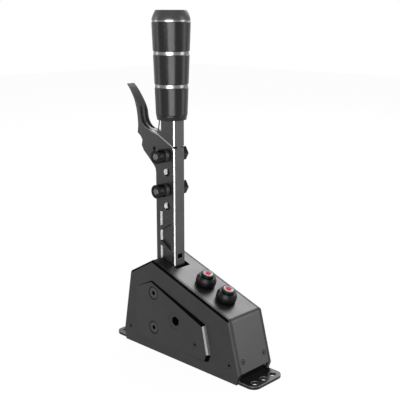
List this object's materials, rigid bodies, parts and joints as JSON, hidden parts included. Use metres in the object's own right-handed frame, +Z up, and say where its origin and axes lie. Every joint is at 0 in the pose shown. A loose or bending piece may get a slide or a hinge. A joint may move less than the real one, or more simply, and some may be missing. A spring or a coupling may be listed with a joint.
{
  "type": "sim racing gear shifter",
  "caption": "Sequential sim racing gear shifter: dark metal case with two bolt-down tabs, two push buttons, a clamped lever, a trigger paddle and a long round knurled grip with silver rings",
  "frame": {"origin": "Under the middle of the base plate: centre of the bounding box, at its lowest level, which is the mounting surface.", "axes": "+Z up. +X runs from the rear of the case to its low front end, where the driver sits. +Y runs across the case, away from the plate that the picture shows."},
  "size_m": [0.189, 0.0522, 0.3275],
  "materials": {
    "base_black": "matt",
    "case_grey": "matt",
    "lever_grey": "matt",
    "screw_black": "satin",
    "button_black": "satin",
    "grip_black": "matt",
    "ring_silver": "satin",
    "lens_red": "gloss",
    "plain_steel": "satin",
    "plain_aluminium": "satin",
    "brass_parts": "satin",
    "bumper_rubber": "matt",
    "spring_steel": "satin",
    "spring_dark": "satin",
    "board_green": "satin"
  },
  "bodies": {
    "case": {"base_plate": "base_black", "left_side_plate": "case_grey", "right_side_plate": "case_grey", "top_cover": "case_grey", "front_mount_block": "base_black", "rear_mount_block": "base_black", "cross_spacer": "plain_steel", "base_screws": "screw_black", "shaft_screws": "screw_black", "side_screws": "screw_black", "cover_screws": "screw_black", "pivot_shaft": "plain_steel", "pivot_spacers": "plain_aluminium", "stop_shaft": "plain_steel", "stop_sleeve": "bumper_rubber", "front_spring_housing": "plain_aluminium", "rear_spring_housing": "plain_aluminium", "spring_adjusters": "brass_parts", "adjuster_lock_screws": "screw_black", "front_spring": "spring_steel", "rear_spring": "spring_steel", "main_board": "board_green", "sensor_board": "board_green", "connector_board": "board_green", "board_standoffs": "brass_parts", "board_screws": "plain_steel", "usb_socket": "plain_steel", "button_bodies": "button_black", "button_nuts": "plain_steel", "upper_button_spring": "spring_steel", "lower_button_spring": "spring_steel"},
    "lever": {"left_lever_plate": "lever_grey", "right_lever_plate": "lever_grey", "pivot_block": "lever_grey", "block_screws": "screw_black", "pivot_bearings": "plain_steel", "lever_magnet": "plain_steel", "handle_bar": "lever_grey", "clamp_bolts": "screw_black", "clamp_spacers": "screw_black", "clamp_washers": "screw_black", "clamp_nuts": "screw_black", "trigger_pin": "screw_black", "trigger_spring": "spring_dark", "trigger_sensor": "board_green", "grip_core": "grip_black", "grip_collar": "grip_black", "grip_sleeves": "grip_black", "grip_rings": "ring_silver", "grip_cap": "grip_black", "grip_screw": "screw_black"},
    "trigger": {"trigger": "lever_grey"},
    "front_plunger": {"front_plunger": "plain_steel"},
    "rear_plunger": {"rear_plunger": "plain_steel"},
    "upper_button": {"upper_button_cap": "button_black", "upper_button_ring": "ring_silver", "upper_button_lens": "lens_red"},
    "lower_button": {"lower_button_cap": "button_black", "lower_button_ring": "ring_silver", "lower_button_lens": "lens_red"}
  },
  "joints": [
    {"name": "lever_pivot", "type": "hinge", "parent": "case", "child": "lever", "pos_m": [-0.032, 0, 0.0605], "axis": [0, 1, 0], "range_deg": [-6.5, 6.5], "stiffness_Nm_per_rad": 40},
    {"name": "trigger_pivot", "type": "hinge", "parent": "lever", "child": "trigger", "pos_m": [-0.0466, 0, 0.1987], "axis": [0, 1, 0], "range_deg": [0, 10], "stiffness_Nm_per_rad": 0.8, "springref_deg": -5.73, "deforming": ["trigger_spring"]},
    {"name": "front_plunger_slide", "type": "slide", "parent": "case", "child": "front_plunger", "axis": [1, 0, 0], "range_m": [-0.0023, 0.0023], "deforming": ["front_spring"]},
    {"name": "rear_plunger_slide", "type": "slide", "parent": "case", "child": "rear_plunger", "axis": [1, 0, 0], "range_m": [-0.0023, 0.0023], "deforming": ["rear_spring"]},
    {"name": "upper_button_press", "type": "slide", "parent": "case", "child": "upper_button", "axis": [-0.325, 0, -0.9457], "range_m": [0, 0.0015], "stiffness_N_per_m": 500, "springref_m": -0.0015, "deforming": ["upper_button_spring"]},
    {"name": "lower_button_press", "type": "slide", "parent": "case", "child": "lower_button", "axis": [-0.325, 0, -0.9457], "range_m": [0, 0.0015], "stiffness_N_per_m": 500, "springref_m": -0.0015, "deforming": ["lower_button_spring"]}
  ],
  "couplings": [
    {"joint": "front_plunger_slide", "follows": "lever_pivot", "m_per_rad": -0.0202},
    {"joint": "rear_plunger_slide", "follows": "lever_pivot", "m_per_rad": -0.0202}
  ]
}
